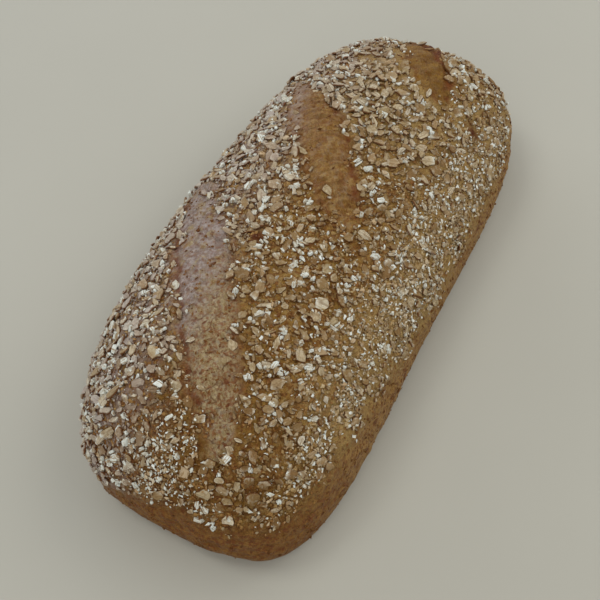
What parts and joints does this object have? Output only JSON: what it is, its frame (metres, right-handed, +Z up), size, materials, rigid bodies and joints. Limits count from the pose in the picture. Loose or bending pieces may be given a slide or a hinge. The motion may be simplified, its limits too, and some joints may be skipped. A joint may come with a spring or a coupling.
{
  "type": "wholemeal hearth loaf",
  "caption": "Long, low hearth-baked wholemeal loaf with a flat base, a domed crust with slanting cuts that opened in the oven, and a coat of bran flakes and cracked wheat.",
  "frame": {"origin": "middle of the loaf's footprint, on the surface that its base rests on", "axes": "+X along the loaf, towards its rounder end, +Z up through the crust"},
  "size_m": [0.28, 0.1281, 0.0671],
  "materials": {
    "crust": "dry, slightly glossy baked wholemeal crust, ochre brown with darker bran specks",
    "bran_flakes": "matt tan bran side of rolled wheat flakes",
    "cracked_wheat": "floury off-white broken wheat",
    "wheat_meal": "fine floury wheat meal"
  },
  "bodies": {
    "root": {"loaf": "crust"}
  },
  "joints": []
}
